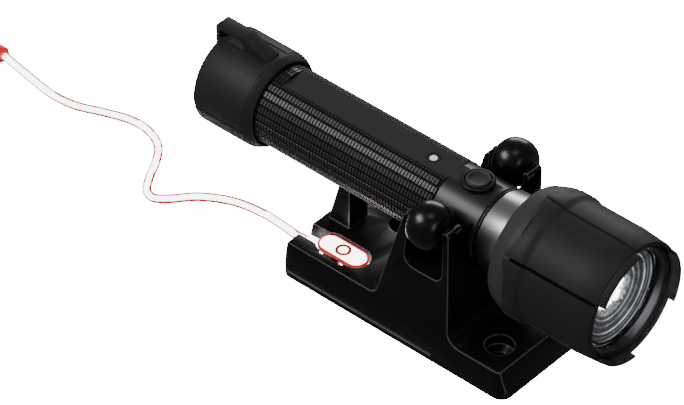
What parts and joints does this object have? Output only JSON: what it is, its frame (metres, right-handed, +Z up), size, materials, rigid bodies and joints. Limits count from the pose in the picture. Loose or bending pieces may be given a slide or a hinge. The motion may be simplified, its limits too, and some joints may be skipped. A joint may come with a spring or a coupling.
{
  "type": "firefighter flashlight",
  "caption": "Rechargeable hand light with a sliding focus head, held by rollers in a moulded charging wall mount, with a magnetic charging lead ending in a flat plug.",
  "frame": {"origin": "centre of the mount's underside", "axes": "+X from the tail of the light to its lens, +Z up off the surface that the mount is fixed to, y = 0 through the light's axis"},
  "size_m": [0.2998, 0.0548, 0.0665],
  "materials": {
    "mount_plastic": "satin moulded",
    "roller_plastic": "polished",
    "steel": "drawn",
    "lead_white": "satin",
    "lead_red": "satin",
    "contact_metal": "plated",
    "inner_plastic": "moulded",
    "anodised_black": "hard anodised, black",
    "soft_rubber": "matte",
    "bumper_rubber": "fine satin",
    "circuit_board": "solder mask",
    "board_white": "white mask on metal core",
    "cell_wrap": "shrink wrap",
    "bright_alloy": "polished",
    "brass": "turned",
    "led_phosphor": "silicone dome",
    "lens_clear": "polished"
  },
  "bodies": {
    "mount": {"cradle": "mount_plastic", "roller_pin_near": "steel", "roller_pin_far": "steel", "puck_base": "lead_white", "puck_band": "lead_red", "puck_rim": "lead_red", "puck_top": "lead_white", "puck_contact_ring": "contact_metal", "cable": "lead_white", "plug_relief": "lead_red", "plug_body": "lead_white", "plug_shell": "contact_metal", "plug_tongue": "inner_plastic"},
    "roller_near": {"roller_near": "roller_plastic"},
    "roller_far": {"roller_far": "roller_plastic"},
    "light": {"body_tube": "anodised_black", "button_ring": "anodised_black", "contact_insulator": "inner_plastic", "contact_pin": "contact_metal", "dome_switch": "steel", "switch_board": "circuit_board", "switch_carrier": "inner_plastic", "driver_board": "circuit_board", "cell": "cell_wrap", "front_spring": "steel", "tail_spring": "steel", "seam_seal": "soft_rubber", "neck": "bright_alloy", "focus_seal": "soft_rubber", "heat_plug": "brass", "led_board": "board_white", "led": "led_phosphor"},
    "tail": {"tail_cap": "anodised_black", "tail_board": "circuit_board", "tail_bumper": "bumper_rubber"},
    "head": {"head_housing": "anodised_black", "head_bumper": "bumper_rubber", "lens": "lens_clear", "lens_seal": "soft_rubber", "bezel_ring": "anodised_black"},
    "button": {"button_cap": "soft_rubber"}
  },
  "joints": [
    {"name": "light_roll", "type": "hinge", "parent": "mount", "child": "light", "pos_m": [0, 0, 0.0446], "axis": [1, 0, 0], "range_deg": [-30, 30]},
    {"name": "roller_near_spin", "type": "hinge", "parent": "mount", "child": "roller_near", "pos_m": [0.0127, -0.01971, 0.052], "axis": [1, 0, 0], "continuous": true},
    {"name": "roller_far_spin", "type": "hinge", "parent": "mount", "child": "roller_far", "pos_m": [0.0127, 0.01971, 0.052], "axis": [1, 0, 0], "continuous": true},
    {"name": "head_focus", "type": "slide", "parent": "light", "child": "head", "axis": [1, 0, 0], "range_m": [-0.008, 0]},
    {"name": "button_press", "type": "slide", "parent": "light", "child": "button", "axis": [0, 0, -1], "range_m": [0, 0.0007], "stiffness_N_per_m": 3000},
    {"name": "tail_cap_turn", "type": "hinge", "parent": "light", "child": "tail", "pos_m": [-0.0645, 0, 0.0446], "axis": [-1, 0, 0], "range_deg": [0, 90]}
  ],
  "couplings": [
    {"joint": "roller_near_spin", "follows": "light_roll", "ratio": -1.7013},
    {"joint": "roller_far_spin", "follows": "light_roll", "ratio": -1.7013}
  ]
}
